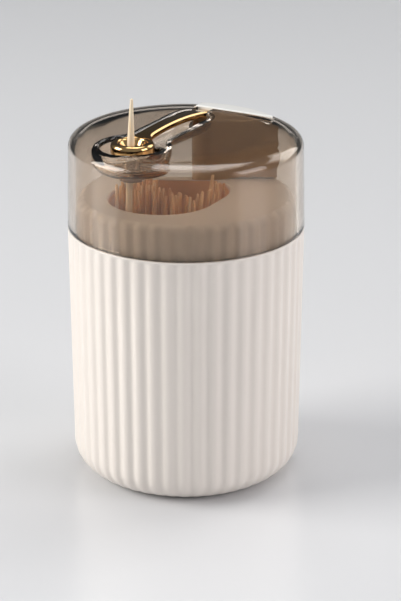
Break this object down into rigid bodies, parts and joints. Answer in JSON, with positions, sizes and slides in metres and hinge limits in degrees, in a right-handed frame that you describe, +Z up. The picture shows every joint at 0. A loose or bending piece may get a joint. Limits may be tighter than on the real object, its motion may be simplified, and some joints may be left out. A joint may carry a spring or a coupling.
{
  "type": "toothpick dispenser",
  "caption": "Fluted cream jar for toothpicks with a clear grey lid, a white D-shaped button and a gold arm whose round nozzle hands out a pick.",
  "frame": {"origin": "centre of the foot pad's underside, on the jar's axis", "axes": "+Z up along the jar's axis, +X to the right of a user whose nozzle is at the front left, +Y to the back, where the button is"},
  "size_m": [0.067, 0.067, 0.1137],
  "materials": {
    "cream_plastic": "satin",
    "liner_plastic": "satin",
    "smoke_clear": "polished",
    "gold": "polished",
    "white_gloss": "gloss",
    "steel": "brushed",
    "pick_wood": "matte",
    "soft_rubber": "matte"
  },
  "bodies": {
    "jar": {"jar_shell": "cream_plastic", "foot_pad": "soft_rubber", "pick_liner": "liner_plastic", "toothpick_bunch": "pick_wood"},
    "lid": {"lid_cover": "smoke_clear", "guide_bush": "white_gloss", "button_box": "white_gloss", "box_cover": "white_gloss", "box_screws": "steel", "return_spring": "steel"},
    "plunger": {"thumb_button": "white_gloss", "plunger_core": "white_gloss", "arm_screw": "steel", "lever_arm": "gold", "nozzle_cup": "gold", "nozzle_tube": "steel", "grip_ring": "soft_rubber"},
    "pick": {"served_toothpick": "pick_wood"}
  },
  "joints": [
    {"name": "lid_lift", "type": "slide", "parent": "jar", "child": "lid", "axis": [0, 0, 1], "range_m": [0, 0.05]},
    {"name": "button_press", "type": "slide", "parent": "lid", "child": "plunger", "axis": [0, 0, -1], "range_m": [0, 0.003], "stiffness_N_per_m": 400, "springref_m": -0.002, "deforming": ["return_spring"]},
    {"name": "pick_pull", "type": "slide", "parent": "plunger", "child": "pick", "axis": [0.0262, 0, 0.9997], "range_m": [0, 0.06]}
  ]
}
